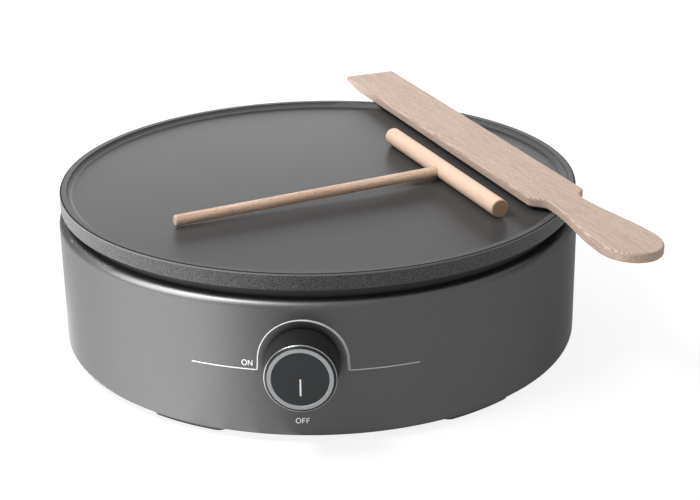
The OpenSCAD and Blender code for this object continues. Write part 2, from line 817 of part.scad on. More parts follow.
module foot(angle) {
    end_angle = foot_span / 2 - asin(foot_w / 2 / foot_mid_r);
    color(rubber_black) rotate(angle) {
        rotate(-end_angle) turned(2 * end_angle) translate([foot_mid_r, 0]) {
            foot_half_profile();
            mirror([1, 0]) foot_half_profile();
        }
        for (side = [-1, 1])
            rotate(side * end_angle) translate([foot_mid_r, 0, 0])
                rotate_extrude() foot_half_profile();
        for (side = [-1, 1])
            rotate(side * foot_peg_angle) translate([foot_mid_r, 0, cover_low_z - eps]) {
                cylinder(d = foot_peg_d, h = cover_t + 2 * eps);
                translate([0, 0, cover_t + eps])
                    cylinder(
                        d1 = foot_peg_d + foot_cap_grip, d2 = foot_peg_d - foot_cap_taper, h = foot_cap_h);
            }
    }
}

module foot_front_left() { foot(foot_front_left_angle); }
module foot_front_right() { foot(foot_front_right_angle); }
module foot_back_left() { foot(foot_front_right_angle + 180); }
module foot_back_right() { foot(foot_front_left_angle + 180); }

module spacer_posts() {
    post_h = shield_low_z - cover_z;
    color(zinc) around(post_angles, post_r) translate([0, 0, cover_z]) difference() {
        cylinder(d = post_d, h = post_h);
        translate([0, 0, -eps]) cylinder(d = tie_d + screw_gap, h = post_h + 2 * eps);
    }
}

module tie_screws() {
    color(zinc) around(post_angles, post_r) translate([0, 0, cover_low_z]) {
        translate([0, 0, -eps]) cylinder(d = tie_d, h = shield_z - cover_low_z + boss_thread_depth + eps);
        translate([0, 0, -tie_head_h]) cylinder(d = tie_head_d, h = tie_head_h);
    }
}

module base_screws() {
    color(zinc) around(lug_angles, base_screw_r)
        translate([0, 0, cover_low_z]) screw(base_screw_d, cover_t + lug_t + screw_tail);
}

// ---- Controls and wiring inside ----

module thermostat_body() {
    color(ceramic) on_knob_axis() difference() {
        union() {
            translate([-stat_w / 2 + stat_round, -stat_h / 2 + stat_round, stat_y - stat_depth]) {
                translate([-stat_round, 0, 0]) cube([stat_w, stat_h - 2 * stat_round, stat_depth]);
                translate([0, -stat_round, 0]) cube([stat_w - 2 * stat_round, stat_h, stat_depth]);
                for (x = [0, stat_w - 2 * stat_round], y = [0, stat_h - 2 * stat_round])
                    translate([x, y, 0]) cylinder(r = stat_round, h = stat_depth);
            }
            translate([0, 0, stat_y - eps]) cylinder(d = bearing_d, h = bracket_t + eps);
        }
        translate([0, 0, stat_y - shaft_bearing])
            cylinder(d = shaft_d + 2 * turn_gap, h = shaft_bearing + bracket_t + eps);
        for (side = [-1, 1])
            translate([side * stat_screw_x, 0, stat_y - stat_screw_depth - hole_spare])
                cylinder(d = stat_screw_d + 2 * slip, h = stat_screw_depth + hole_spare + eps);
    }
}

module thermostat_tabs() {
    color(brass) for (side = [-1, 1])
        translate([side * tab_x - tab[0] / 2, -(stat_y - stat_depth), tab_z - tab[1] / 2])
            cube([tab[0], tab[2], tab[1]]);
}

module thermostat_bracket() {
    color(zinc) on_knob_axis() difference() {
        translate([-bracket_w / 2, -bracket_h / 2, stat_y]) cube([bracket_w, bracket_h, bracket_t]);
        translate([0, 0, stat_y - eps]) cylinder(d = bearing_d + 2 * slip, h = bracket_t + 2 * eps);
        for (side = [-1, 1])
            translate([side * stat_screw_x, 0, stat_y - eps])
                cylinder(d = stat_screw_d + screw_gap, h = bracket_t + 2 * eps);
    }
}

module thermostat_screws() {
    head_h = pan_head[1] * stat_screw_d;
    color(zinc) on_knob_axis() for (side = [-1, 1])
        translate([side * stat_screw_x, 0, 0]) {
            translate([0, 0, casing_r - eps]) cylinder(d = pan_head[0] * stat_screw_d, h = head_h);
            translate([0, 0, stat_y - stat_screw_depth])
                cylinder(d = stat_screw_d, h = casing_r - stat_y + stat_screw_depth);
        }
}

module thermal_fuse() {
    color(ceramic) translate(fuse_pos) rotate([0, 90, 0]) {
        translate([0, 0, -fuse_len / 2]) cylinder(d = fuse_d, h = fuse_len);
        translate([0, 0, -fuse_len / 2 - fuse_lead]) cylinder(d = wire_d, h = fuse_len + 2 * fuse_lead);
    }
}

module fuse_saddle() {
    color(zinc) translate([fuse_pos[0], fuse_pos[1], shield_low_z]) saddle(fuse_d);
}

module fuse_screws() {
    color(zinc) for (side = [-1, 1])
        translate([fuse_pos[0], fuse_pos[1] + side * saddle_screw_y(fuse_d), shield_low_z - clamp_t])
            screw(saddle_screw_d, clamp_t + shield_t + screw_tail);
}

module terminal_block() {
    color(ceramic) difference() {
        union() {
            translate([-terminal_len / 2, terminal_front_y, dish_z])
                cube([terminal_len, terminal_w, terminal_foot_h]);
            for (i = [-1:1])
                translate([i * pole_pitch - pole_w / 2, terminal_front_y, dish_z])
                    cube([pole_w, terminal_w, terminal_h]);
        }
        for (i = [-1:1]) translate([i * pole_pitch, 0, 0]) {
            translate([0, terminal_y, pole_screw_z]) cylinder(d = pole_d, h = terminal_h);
            translate([0, terminal_front_y - eps, terminal_out_z]) rotate([-90, 0, 0])
                cylinder(d = wire_d + 2 * slip, h = pole_entry);
            translate([0, terminal_y + terminal_w / 2 + eps, terminal_out_z]) rotate([90, 0, 0])
                cylinder(d = wire_d + 2 * slip, h = pole_entry);
        }
        for (side = [-1, 1])
            translate([side * pole_pitch / 2, terminal_y, dish_z - eps])
                cylinder(d = saddle_screw_d + 2 * slip, h = terminal_fixing_depth + hole_spare);
    }
}

module terminal_screws() {
    color(brass) for (i = [-1:1])
        translate([i * pole_pitch, terminal_y, pole_screw_z])
            cylinder(d = pole_d - 2 * slip, h = pole_screw_h);
}

// The two screws that hold the terminal block down from below
module terminal_fixings() {
    color(zinc) for (side = [-1, 1])
        translate([side * pole_pitch / 2, terminal_y, dish_z - cover_t])
            screw(saddle_screw_d, cover_t + terminal_fixing_depth);
}

module earth_screw() {
    color(brass) translate(earth_pos) {
        cylinder(d = pan_head[0] * earth_screw_d, h = earth_nut_h);
        translate([0, 0, -cover_t - earth_tail]) cylinder(d = earth_screw_d, h = cover_t + earth_tail + eps);
        translate([-earth_tag[0] / 2, 0, 0]) cube(earth_tag);
    }
}

module inlet_bush() {
    color(plastic_black) on_inlet_axis() difference() {
        union() {
            translate([0, 0, casing_r]) {
                cylinder(d = inlet_flange_d, h = inlet_flange_t - inlet_chamfer);
                translate([0, 0, inlet_flange_t - inlet_chamfer - eps])
                    cylinder(
                        d1 = inlet_flange_d, d2 = inlet_flange_d - 2 * inlet_chamfer, h = inlet_chamfer);
            }
            translate([0, 0, casing_r - inlet_len]) cylinder(d = inlet_d, h = inlet_len + eps);
        }
        translate([0, 0, casing_r - inlet_len - eps])
            cylinder(d = inlet_bore_d, h = inlet_len + inlet_flange_t + 2 * eps);
    }
}

module inlet_nut() {
    nut_out_y = sqrt(pow(casing_in_r, 2) - pow(nut_d / 2, 2));
    color(plastic_black) on_inlet_axis() translate([0, 0, nut_out_y - nut_t]) difference() {
        cylinder(d = nut_d, h = nut_t, $fn = 6);
        translate([0, 0, -eps]) cylinder(d = inlet_d + 2 * slip, h = nut_t + 2 * eps);
    }
}

// Where the wires end
function pole_front(i) = [i * pole_pitch, terminal_front_y - slip, terminal_out_z];
function stat_tab(side) = [side * tab_x, tab_end_y + slip, tab_z];
fuse_end = [fuse_len / 2 + fuse_lead + slip, 0, 0];
function cold_stud(r) = let (a = 90 + element_gap_angle, b = cold_bend_r)
    [r * cos(a) + b * sin(a), r * sin(a) - b * cos(a), stud_low_z - slip];

module wire_live() {
    color(wire_brown)
        wire(pole_front(-1), pole_lead, stat_tab(-1), tab_lead, dish_z + 2 * wire_d);
}

module wire_switched() {
    color(wire_white)
        wire(stat_tab(1), tab_lead, fuse_pos + fuse_end, fuse_out_lead, (tab_z + fuse_pos[2]) / 2);
}

module wire_fused() {
    color(wire_white)
        wire(fuse_pos - fuse_end, -fuse_out_lead, cold_stud(element_inner_r), stud_lead,
            stud_low_z + stud_lead[2] - stud_sag);
}

module wire_neutral() {
    color(wire_blue)
        wire(pole_front(0), pole_lead, cold_stud(element_outer_r), stud_lead,
            (terminal_out_z + stud_low_z) / 2);
}

module wire_earth() {
    color(wire_green)
        wire(pole_front(1), pole_lead, earth_pos + [0, earth_tag[1] + slip, earth_tag[2] + wire_d / 2],
            earth_lead, dish_z + wire_d);
}

// ---- Knob, drawn along its own axis ----

module control_shaft() {
    tip_y = knob_back_y + hub_start + hub_grip;
    start_y = stat_y - shaft_bearing + 1;
    color(zinc) on_knob_axis() difference() {
        translate([0, 0, start_y]) cylinder(d = shaft_d, h = tip_y - start_y);
        translate([-shaft_d, shaft_d / 2 - flat_depth, knob_back_y + hub_start])
            cube([2 * shaft_d, shaft_d, hub_grip + eps]);
    }
}

module knob_body() {
    skirt_in_r = knob_d / 2 - skirt_t;
    front_r = knob_front_d / 2;
    bevel_r = front_r - bevel_w;
    recess_r = min(trim_d / 2 + slip, bevel_r - trim_land);
    recess_z = knob_depth - trim_t - slip;
    cavity_h = recess_z - front_wall;
    color(knob_dark) on_knob_axis() translate([0, 0, knob_back_y]) difference() {
        union() {
            rotate_extrude($fn = wall_fn) difference() {
                polygon([
                    [0, 0], [knob_d / 2, 0], [front_r, knob_depth - bevel_h], [bevel_r, knob_depth],
                    [0, knob_depth]
                ]);
                translate([-eps, recess_z]) square([recess_r + eps, knob_depth]);
                translate([-eps, -eps]) square([skirt_in_r + eps, cavity_h + eps]);
            }
            translate([0, 0, hub_start]) cylinder(d = hub_d, h = cavity_h - hub_start + eps);
        }
        intersection() {
            translate([0, 0, hub_start - eps]) cylinder(d = shaft_d + 2 * slip, h = hub_grip + slip + eps);
            translate([-shaft_d, -shaft_d, 0])
                cube([2 * shaft_d, shaft_d + shaft_d / 2 - flat_depth + slip, knob_depth]);
        }
    }
}

module knob_spring() {
    color(zinc) on_knob_axis() translate([0, 0, knob_back_y + hub_start + spring_set])
        rotate(-90 + asin(spring_gap_w / hub_d))
            rotate_extrude(angle = 360 - 2 * asin(spring_gap_w / hub_d))
                translate([hub_d / 2 + slip, 0]) square([spring_t, spring_w]);
}

module knob_trim_ring() {
    face_r = face_d / 2 + slip;
    chamfer = trim_chamfer;
    color(knob_silver) on_knob_axis() translate([0, 0, knob_front_y - trim_t])
        rotate_extrude($fn = wall_fn) polygon([
            [face_r, 0], [trim_d / 2, 0], [trim_d / 2, trim_t - chamfer], [trim_d / 2 - chamfer, trim_t],
            [face_r + chamfer, trim_t], [face_r, trim_t - chamfer]
        ]);
}

module knob_face() {
    color(knob_dark) on_knob_axis() translate([0, 0, knob_front_y - trim_t]) difference() {
        cylinder(d = face_d, h = trim_t - face_sink, $fn = wall_fn);
        translate([-pointer_w / 2 - slip / 2, -pointer_len - slip / 2, trim_t - face_sink - pointer_t])
            cube([pointer_w + slip, pointer_len + slip, pointer_t + eps]);
    }
}

module knob_pointer() {
    color(pointer_white) on_knob_axis()
        translate([-pointer_w / 2, -pointer_len, knob_front_y - face_sink - pointer_t])
            cube([pointer_w, pointer_len, pointer_t]);
}

// ---- Loose tools on the plate ----

// The spreader's frame: origin on the bar's axis, handle along -X and bar along Y but for the skew.
// The handle tilts until its free end is as close to the plate as the bar.
module at_spreader() {
    tilt = asin((bar_d - handle_d) / 2 / spreader_reach);
    translate([bar_x, bar_y, cook_z + rest_gap + bar_d / 2])
        rotate(spreader_angle + handle_skew) rotate([0, -tilt, 0]) children();
}

// A turned rod along +X with softened ends
module rod(d, length) {
    soft = rod_soft;
    rotate([0, 90, 0]) {
        translate([0, 0, soft]) cylinder(d = d, h = length - 2 * soft);
        cylinder(d1 = d - 2 * soft, d2 = d, h = soft + eps);
        translate([0, 0, length - soft - eps]) cylinder(d1 = d, d2 = d - 2 * soft, h = soft + eps);
    }
}

module spreader_bar() {
    color(beech_pale) at_spreader() difference() {
        rotate(90 - handle_skew) translate([-bar_len / 2, 0, 0]) rod(bar_d, bar_len);
        translate([-bar_d, 0, 0]) rotate([0, 90, 0])
            cylinder(d = handle_d + slip, h = bar_d / 2 + handle_seat + slip);
    }
}

module spreader_handle() {
    inserted = bar_d / 2 - handle_seat;
    color(beech_brown) at_spreader()
        translate([-spreader_reach, 0, 0]) rod(handle_d, spreader_reach - inserted);
}

// Half of the spatula's outline as distance from the tip and half width: a straight blade that narrows
// to a waist, and a handle that widens to a round end
function board_half() =
    let (blade = blade_w / 2, neck = spatula_neck_w / 2, grip = handle_end_w / 2)
    concat(
        [for (i = [0:tip_corner_steps]) let (a = 90 * i / tip_corner_steps)
            [tip_corner * (1 - cos(a)), blade - tip_corner * (1 - sin(a))]],
        [[tip_bevel_len, blade]],
        [for (i = [0:flare_steps]) let (t = i / flare_steps)
            [blade_len + shoulder_run * t, blade + (neck - blade) * ease(t)]],
        [for (i = [0:flare_steps]) let (t = i / flare_steps)
            [waist_x + (end_x - waist_x) * t, neck + (grip - neck) * ease(t)]],
        [for (i = [1:end_steps - 1]) let (a = 90 * i / end_steps)
            [end_x + handle_end_len * sin(a), grip * cos(a)]]);

// Goes from 0 to 1 with a soft start and a soft end
function ease(t) = (1 - cos(180 * t)) / 2;

// Height of the board's underside, which rises in a bevel towards the tip
function board_low(x) = max(0, (board_t - tip_t) * (1 - x / tip_bevel_len));

// The outline drawn in by its rounding at angle a, under the board or on top of it
function board_ring(p, a, top) =
    [for (i = [0:len(p) - 1])
        let (
            along = p[(i + 1) % len(p)] - p[(i + len(p) - 1) % len(p)],
            out = unit([-along[1], along[0]]),
            soft = min(board_round, soft_share * (board_t - board_low(p[i][0]))),
            q = p[i] - soft * (1 - sin(a)) * out,
            rise = soft * (1 - cos(a)))
        [q[0], q[1], top ? board_t - rise : board_low(q[0]) + rise]];

module spatula() {
    half = board_half();
    outline = concat(
        half, [[spatula_len, 0]], [for (i = [len(half) - 1:-1:0]) [half[i][0], -half[i][1]]]);
    n = len(outline);
    levels = 2 * soft_steps + 2;
    high = (levels - 1) * n;
    rings = [for (k = [0:levels - 1])
        let (top = k > soft_steps, a = 90 * (top ? levels - 1 - k : k) / soft_steps)
        each board_ring(outline, a, top)];
    sides = [for (k = [0:levels - 2], i = [0:n - 1])
        let (a = k * n + i, b = k * n + (i + 1) % n)
        each [[a, b, b + n], [a, b + n, a + n]]];
    // crossways strips from edge to edge, under the board and on top
    strips = [for (i = [0:len(half) - 1])
        let (a = i, b = i + 1, c = n - 2 - i, d = n - 1 - i)
        each concat(
            [[a, d, b], [high + a, high + b, high + d]],
            b == c ? [] : [[b, d, c], [high + b, high + c, high + d]])];
    color(beech_pale) translate([spatula_x, spatula_y, plate_top_z]) rotate(spatula_angle)
        polyhedron(points = rings, faces = concat(strips, sides));
}

cooking_plate();
heating_element();
element_clamps();
clamp_screws();
heat_shield();
neck_ring();
drum_casing();
base_cover();
foot_front_left();
foot_front_right();
foot_back_left();
foot_back_right();
spacer_posts();
tie_screws();
base_screws();
thermostat_body();
thermostat_tabs();
thermostat_bracket();
thermostat_screws();
sensor_bulb();
sensor_saddle();
capillary_tube();
thermal_fuse();
fuse_saddle();
fuse_screws();
terminal_block();
terminal_screws();
terminal_fixings();
earth_screw();
inlet_bush();
inlet_nut();
wire_live();
wire_switched();
wire_fused();
wire_neutral();
wire_earth();
control_shaft();
knob_body();
knob_spring();
knob_trim_ring();
knob_face();
knob_pointer();
spreader_bar();
spreader_handle();
spatula();
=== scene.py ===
"""Looks of the electric crepe maker: finishes, printed scale, screw heads, floor, light and camera.

Lengths are millimetres unless a comment says otherwise, and MM turns them into metres.
"""

import math

import bmesh
import bpy
from mathutils import Matrix, Vector


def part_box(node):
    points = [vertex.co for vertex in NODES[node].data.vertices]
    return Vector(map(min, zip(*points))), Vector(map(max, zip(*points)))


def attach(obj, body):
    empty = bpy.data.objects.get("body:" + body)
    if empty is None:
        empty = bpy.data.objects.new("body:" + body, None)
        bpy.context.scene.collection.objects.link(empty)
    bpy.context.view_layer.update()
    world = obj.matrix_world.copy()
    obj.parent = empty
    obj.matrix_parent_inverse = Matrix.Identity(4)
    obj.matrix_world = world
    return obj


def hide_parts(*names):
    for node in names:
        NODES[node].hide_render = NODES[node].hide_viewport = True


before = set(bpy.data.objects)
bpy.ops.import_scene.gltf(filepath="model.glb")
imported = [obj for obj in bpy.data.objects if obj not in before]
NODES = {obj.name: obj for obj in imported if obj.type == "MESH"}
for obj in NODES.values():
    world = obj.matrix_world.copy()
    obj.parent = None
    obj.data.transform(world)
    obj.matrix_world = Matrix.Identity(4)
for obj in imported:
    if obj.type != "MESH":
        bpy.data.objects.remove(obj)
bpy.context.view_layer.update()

MM = 0.001

# Places taken from the frame
_, PLATE_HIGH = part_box("cooking_plate")
_, CASING_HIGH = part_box("drum_casing")
FACE_LOW, FACE_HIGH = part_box("knob_face")
KNOB_LOW, KNOB_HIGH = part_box("knob_body")
PLATE_R = PLATE_HIGH.x / MM
PLATE_TOP = PLATE_HIGH.z / MM
CASING_R = CASING_HIGH.x / MM
KNOB_Z = (FACE_LOW.z + FACE_HIGH.z) / 2 / MM
KNOB_R = KNOB_HIGH.x / MM
KNOB_FRONT_Y = KNOB_LOW.y / MM

# Places in the finishes. A line starts, is full, fades and ends at its four distances.
SIDE_START = (0.5, 0.15)                    # plate: its sandy side comes in, inward from its edge
RIM_DARK_REFLECTION = (1.25, 1.0, 0.45, 0.25)          # plate: painted dark reflection, a line inward from its edge
CORNER_HIGHLIGHT = (1.15, 0.95, 0.4, 0.2)        # plate: painted highlight, a light line on its side, down from its top
FILLET_FOOT_R = PLATE_R - 6.4               # where the lip's fillet meets the cooking surface
FILLET_HIGHLIGHT = (-1.0, -0.3, 0.3, 0.9)        # plate: painted highlight, a light line outward from the fillet's foot
EDGE_LINE_R = 18.33                         # knob: polished line round its front edge
EDGE_LINE_DEPTH = 1.3                       # how far back from the knob's front that line goes
KNOB_SHADOW_REACH = 4.5                            # casing: painted shade round the knob, how far it goes beyond the knob
KNOB_SHADOW_HEIGHTS = (-14, 4)                     # from the knob's axis, where the painted shade comes in
KNOB_SHADOW_SHARE = 0.75                           # how dark the painted shade is

# Directions of the wood's grain, in degrees from the X axis
BAR_ANGLE = 115.4
HANDLE_ANGLE = 28.0
SPATULA_ANGLE = -65.3


# ---- Finishes ----

class Finish:
    """A node material round one Principled shader, with short calls for what its nodes compute."""

    MIX_SOCKETS = {"RGBA": (6, 7, 2), "VECTOR": (4, 5, 1)}      # of a Mix node: a, b and result

    def __init__(self, name, colour, roughness, metallic=0.0, specular=0.5):
        self.material = bpy.data.materials.new(name)
        self.material.use_nodes = True
        self.tree = self.material.node_tree
        self.shader = self.tree.nodes["Principled BSDF"]
        self.set("Base Color", colour)
        self.set("Roughness", roughness)
        self.set("Metallic", metallic)
        self.set("Specular IOR Level", specular)
        self.place = self.add("TexCoord").outputs["Object"]

    def add(self, kind, inputs=None, **settings):
        node = self.tree.nodes.new("ShaderNode" + kind)
        for key, value in settings.items():
            setattr(node, key, value)
        for key, value in (inputs or {}).items():
            self.feed(node.inputs[key], value)
        return node

    def feed(self, socket, value):
        if isinstance(value, bpy.types.NodeSocket):
            self.tree.links.new(value, socket)
        elif socket.type == "RGBA":
            socket.default_value = (*value, 1.0)
        else:
            socket.default_value = value

    def set(self, socket, value):
        self.feed(self.shader.inputs[socket], value)

    def math(self, operation, a, b=0.0):
        return self.add("Math", {0: a, 1: b}, operation=operation).outputs[0]

    def plus(self, a, b):
        return self.math("ADD", a, b)

    def times(self, first, *others):
        product = first
        for other in others:
            product = self.math("MULTIPLY", product, other)
        return product

    def axes(self):
        """X, Y and Z of the place, in millimetres."""
        outputs = self.add("SeparateXYZ", {0: self.place}).outputs
        return [self.math("DIVIDE", axis, MM) for axis in outputs]

    def knob_axes(self):
        """Millimetres right of the knob's axis, back from the origin and above the axis."""
        x, y, z = self.axes()
        return x, y, self.math("SUBTRACT", z, KNOB_Z)

    def distance(self, a, b):
        """How far the point (a, b) is from (0, 0)."""
        return self.math("SQRT", self.plus(self.times(a, a), self.times(b, b)))

    def stretched(self, scale, vector=None):
        """The place, in metres, or another vector, times a scale for each axis."""
        inputs = {"Vector": vector or self.place, "Scale": scale}
        return self.add("Mapping", inputs).outputs[0]

    def noise(self, vector, scale=1.0, detail=2.0, roughness=0.5):
        inputs = {"Vector": vector, "Scale": scale, "Detail": detail, "Roughness": roughness}
        return self.add("TexNoise", inputs).outputs["Fac"]

    def grain(self, size, detail=2.0, roughness=0.5):
        """Noise whose features are about this many millimetres across."""
        return self.noise(self.place, 1 / (size * MM), detail, roughness)

    def cells(self, size, output):
        """Random cells that are about this many millimetres across."""
        inputs = {"Vector": self.place, "Scale": 1 / (size * MM)}
        return self.add("TexVoronoi", inputs).outputs[output]

    def ramp(self, value, low, high, to_low=0.0, to_high=1.0):
        inputs = {"Value": value, "From Min": low, "From Max": high,
                  "To Min": to_low, "To Max": to_high}
        return self.add("MapRange", inputs, interpolation_type="SMOOTHSTEP").outputs["Result"]

    def band(self, value, start, full, fading, end):
        """1 between full and fading, going softly to 0 at start and at end."""
        return self.times(self.ramp(value, start, full), self.ramp(value, end, fading))

    def blend(self, share, a, b, kind="RGBA"):
        """Goes from a to b, two colours or vectors, as the share goes from 0 to 1."""
        node = self.add("Mix", data_type=kind)
        a_socket, b_socket, result = self.MIX_SOCKETS[kind]
        self.feed(node.inputs[0], share)
        self.feed(node.inputs[a_socket], a)
        self.feed(node.inputs[b_socket], b)
        return node.outputs[result]

    def bump(self, height, depth, strength=1.0, normal=None):
        """A bump of about this many millimetres for a height from 0 to 1."""
        inputs = {"Height": height, "Distance": depth * MM, "Strength": strength}
        if normal:
            inputs["Normal"] = normal
        return self.add("Bump", inputs).outputs["Normal"]


def grey(level, warmth=0.0):
    return (level * (1 + warmth), level, level * (1 - warmth))


def toned(colour, factor):
    return tuple(min(c * factor, 1) for c in colour)


def coating_finish():
    """Satin non-stick coating, a duller lip, the sandy side, a painted dark reflection along the
    rim's top edge, and painted highlights on the top of the side and at the fillet's foot.
    """
    f = Finish("plate_coating", grey(0.03, 0.01), 0.42, specular=0.35)
    x, y, height = f.axes()
    radius = f.distance(x, y)
    side = f.ramp(radius, *(PLATE_R - d for d in SIDE_START))
    lip = f.ramp(radius, FILLET_FOOT_R, FILLET_FOOT_R + 0.8)
    # painted light: a dark line of painted reflection along the rim's top edge, and light lines of
    # painted highlight on the top of the side and at the fillet's foot
    rim_dark_reflection = f.times(f.band(radius, *(PLATE_R - d for d in RIM_DARK_REFLECTION)),
                       f.ramp(height, PLATE_TOP - 1.0, PLATE_TOP - 0.5))
    corner_highlight = f.times(f.band(height, *(PLATE_TOP - d for d in CORNER_HIGHLIGHT)), side)
    fillet_highlight = f.band(radius, *(FILLET_FOOT_R + d for d in FILLET_HIGHLIGHT))
    sand = f.grain(0.55, 3, 0.6)

    top = f.blend(f.ramp(f.grain(60, 3), 0.35, 0.65), (0.041, 0.0395, 0.0395),
                  (0.043, 0.0415, 0.0415))
    top = f.blend(lip, top, grey(0.072))
    # painted highlight at the fillet's foot
    top = f.blend(f.times(fillet_highlight, 0.85), top, grey(0.12))
    edge = f.blend(f.ramp(sand, 0.4, 0.62), grey(0.016), grey(0.08))
    colour = f.blend(side, top, edge)
    # painted highlight along the top of the side
    colour = f.blend(corner_highlight, colour, grey(0.14))
    # painted dark reflection along the rim's top edge
    f.set("Base Color", f.blend(rim_dark_reflection, colour, grey(0.006)))

    duller = f.plus(f.times(f.math("MAXIMUM", side, lip), 0.14), f.times(rim_dark_reflection, 0.4))
    f.set("Roughness", f.plus(duller, f.ramp(f.grain(3), 0, 1, 0.40, 0.44)))
    smooth = f.bump(f.grain(0.16), 0.012, 0.5)
    rough = f.bump(sand, 0.2)
    f.set("Normal", f.blend(side, smooth, rough, "VECTOR"))
    return f.material


def casing_finish():
    """Titanium-grey metallic paint with fine flakes, and a soft ring of painted shade round the
    knob, where the knob's shadow falls.
    """
    f = Finish("casing_paint", grey(0.1), 0.4, metallic=0.85, specular=0.4)
    f.set("Specular Tint", grey(0.4))
    flakes = f.add("SeparateColor", {0: f.cells(0.3, "Color")}).outputs[0]
    paint = f.blend(flakes, (0.078, 0.077, 0.077), (0.096, 0.0945, 0.0945))
    x, y, up = f.knob_axes()
    # painted shade: a soft dark ring on the paint round the knob, strongest above it and on the
    # front of the casing
    ring = f.times(f.ramp(f.distance(x, up), KNOB_R + KNOB_SHADOW_REACH, KNOB_R - 0.5),
                   f.ramp(up, *KNOB_SHADOW_HEIGHTS), f.ramp(y, 0, -100, 0, KNOB_SHADOW_SHARE))
    f.set("Base Color", f.blend(ring, paint, grey(0.012)))
    f.set("Roughness", f.plus(0.38, f.times(f.grain(14, 3), 0.05)))
    peel = f.bump(f.grain(1.6), 0.006, 0.5)
    f.set("Normal", f.bump(flakes, 0.004, 0.3, peel))
    return f.material


def moulded_finish(name, level, roughness, grain_size=0.25, depth=0.015, warmth=0.0,
                   specular=0.4):
    """Moulded plastic or rubber with a fine spark-eroded grain."""
    colour = grey(level, warmth)
    f = Finish(name, colour, roughness, specular=specular)
    fine = f.grain(grain_size, 3, 0.6)
    f.set("Base Color", f.blend(fine, toned(colour, 0.85), toned(colour, 1.15)))
    f.set("Roughness", f.plus(roughness - 0.05, f.times(f.grain(4), 0.1)))
    f.set("Normal", f.bump(fine, depth, 0.6))
    return f.material


def powder_finish():
    """Black powder coat of the base cover, with its soft orange peel."""
    f = Finish("base_sheet", grey(0.03), 0.5, specular=0.4)
    peel = f.grain(1.1, 3, 0.55)
    f.set("Base Color", f.blend(f.grain(30), grey(0.026), grey(0.038)))
    f.set("Roughness", f.ramp(peel, 0.3, 0.7, 0.42, 0.56))
    f.set("Normal", f.bump(peel, 0.05, 0.7))
    return f.material


def metal_finish(name, colour, roughness, along=(1, 1, 1), stain=0.1):
    """Drawn, rolled or plated metal, with fine lines and a faint stain."""
    f = Finish(name, colour, roughness, metallic=1.0)
    lines = f.noise(f.stretched([a / MM for a in along]), 1.0, 3, 0.6)
    f.set("Base Color", f.blend(f.grain(7, 3), toned(colour, 1 - stain), toned(colour, 1 + stain)))
    f.set("Roughness", f.ramp(lines, 0.3, 0.7, roughness - 0.08, roughness + 0.1))
    f.set("Normal", f.bump(lines, 0.01, 0.5))
    return f.material


def sheath_finish():
    """Steel sheath of the heating element, blued and browned by heat."""
    f = Finish("element_sheath", (0.2, 0.18, 0.17), 0.5, metallic=0.9)
    heat = f.ramp(f.grain(22, 3, 0.6), 0.35, 0.65)
    f.set("Base Color", f.blend(heat, (0.13, 0.13, 0.16), (0.24, 0.19, 0.15)))
    f.set("Roughness", f.ramp(f.grain(0.8, 3), 0.3, 0.7, 0.42, 0.6))
    f.set("Normal", f.bump(f.grain(0.4), 0.02, 0.5))
    return f.material


def ceramic_finish():
    f = Finish("ceramic", (0.72, 0.69, 0.6), 0.42)
    f.set("Base Color", f.blend(f.grain(6, 3), (0.7, 0.67, 0.58), (0.76, 0.74, 0.67)))
    f.set("Normal", f.bump(f.grain(0.3), 0.02, 0.5))
    return f.material


def sleeve_finish(name, colour):
    """Braided heat-resistant sleeve of a wire."""
    f = Finish(name, colour, 0.65, specular=0.3)
    weave = f.cells(0.6, "Distance")
    f.set("Base Color", f.blend(weave, colour, toned(colour, 0.7)))
    f.set("Normal", f.bump(weave, 0.08, 0.7))
    return f.material


def skirt_finish():
    """Black side of the knob, with a polished line round the front edge."""
    f = Finish("knob_skirt", grey(0.012), 0.45, specular=0.2)
    x, y, up = f.knob_axes()
    depth = f.math("SUBTRACT", y, KNOB_FRONT_Y)
    polished = f.times(f.ramp(f.distance(x, up), EDGE_LINE_R - 0.15, EDGE_LINE_R + 0.05),
                       f.ramp(depth, EDGE_LINE_DEPTH + 0.25, EDGE_LINE_DEPTH))
    fine = f.grain(0.3, 3)
    black = f.blend(fine, grey(0.010), grey(0.015))
    f.set("Base Color", f.blend(polished, black, (0.3, 0.31, 0.32)))
    f.set("Metallic", f.times(polished, 0.9))
    f.set("Roughness", f.ramp(polished, 0, 1, 0.45, 0.35))
    f.set("Normal", f.bump(fine, 0.008, 0.5))
    return f.material


def trim_finish():
    """Silver-grey trim ring of the knob."""
    f = Finish("knob_trim", (0.35, 0.37, 0.38), 0.5, metallic=0.25, specular=0.3)
    fine = f.grain(0.25)
    f.set("Base Color", f.blend(fine, (0.325, 0.338, 0.348), (0.385, 0.398, 0.408)))
    f.set("Roughness", f.ramp(fine, 0.3, 0.7, 0.46, 0.56))
    f.set("Normal", f.bump(fine, 0.008, 0.4))
    return f.material


def ink_finish(name, level):
    colour = grey(level)
    f = Finish(name, colour, 0.55, specular=0.3)
    f.set("Base Color", f.blend(f.grain(0.3), toned(colour, 0.94), toned(colour, 1.05)))
    return f.material


